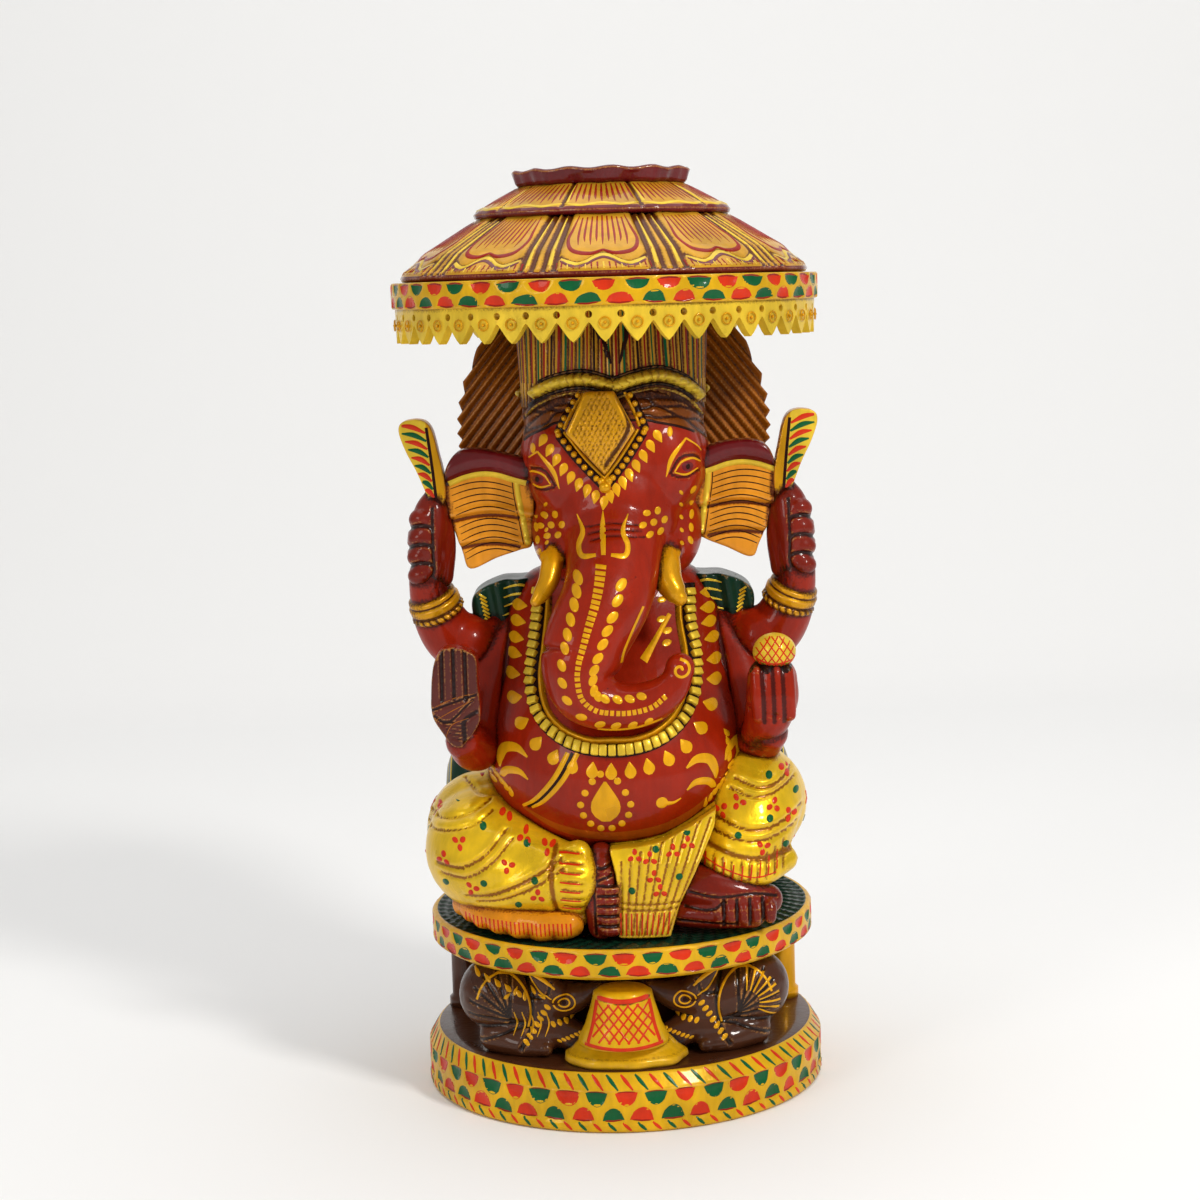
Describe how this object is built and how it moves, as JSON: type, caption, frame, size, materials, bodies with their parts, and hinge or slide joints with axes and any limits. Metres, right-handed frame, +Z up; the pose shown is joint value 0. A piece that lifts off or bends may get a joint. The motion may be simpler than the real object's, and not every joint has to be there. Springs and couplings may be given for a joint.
{
  "type": "seated elephant-headed idol",
  "caption": "Painted carved-wood elephant-headed deity seated on a round seat over a plinth, under a fringed canopy.",
  "frame": {"origin": "centre of the plinth's underside", "axes": "+Z up, -Y is the side the figure faces, +X is the figure's left"},
  "size_m": [0.1418, 0.1406, 0.3045],
  "materials": {
    "yellow_enamel": "glossy yellow enamel over carved wood",
    "gold_paint": "metallic gold paint over carved wood",
    "orange_enamel": "glossy orange enamel over carved wood",
    "red_enamel": "glossy brick red enamel over carved wood",
    "dark_red_enamel": "glossy dark red enamel over carved wood",
    "brown_enamel": "glossy dark brown enamel over carved wood",
    "ochre_paint": "satin ochre paint over carved wood",
    "green_enamel": "glossy dark green enamel over carved wood",
    "striped_enamel": "yellow enamel with painted stripes",
    "bare_wood": "unpainted wood"
  },
  "bodies": {
    "root": {"base_plinth": "yellow_enamel", "base_core": "brown_enamel", "right_post": "brown_enamel", "left_post": "gold_paint", "seat_disc": "yellow_enamel", "offering_bowl": "gold_paint", "sweet_heap": "orange_enamel", "right_mouse": "brown_enamel", "left_mouse": "brown_enamel", "torso": "red_enamel", "bolster": "green_enamel", "right_leg": "yellow_enamel", "left_leg": "yellow_enamel", "right_foot": "dark_red_enamel", "left_foot": "dark_red_enamel", "dhoti_sash": "yellow_enamel", "dhoti_hem": "orange_enamel", "necklace": "gold_paint", "right_shawl": "green_enamel", "left_shawl": "green_enamel", "rear_right_arm": "red_enamel", "rear_left_arm": "red_enamel", "right_bracelet": "gold_paint", "left_bracelet": "gold_paint", "right_fist": "dark_red_enamel", "left_fist": "dark_red_enamel", "axe": "striped_enamel", "noose": "striped_enamel", "front_right_arm": "red_enamel", "front_left_arm": "red_enamel", "open_hand": "brown_enamel", "cupped_hand": "dark_red_enamel", "modak": "orange_enamel", "head": "red_enamel", "right_ear": "dark_red_enamel", "left_ear": "dark_red_enamel", "right_tusk": "gold_paint", "left_tusk": "gold_paint", "forehead_jewel": "gold_paint", "browband": "yellow_enamel", "crown": "yellow_enamel", "halo": "ochre_paint", "canopy_deck": "brown_enamel", "canopy_rim": "yellow_enamel", "canopy_fringe": "gold_paint", "lower_roof": "yellow_enamel", "upper_roof": "yellow_enamel", "canopy_cap": "dark_red_enamel", "core_dowels": "bare_wood", "seat_dowels": "bare_wood", "torso_dowel": "bare_wood", "neck_dowel": "bare_wood", "crown_dowel": "bare_wood", "canopy_dowel": "bare_wood"}
  },
  "joints": []
}
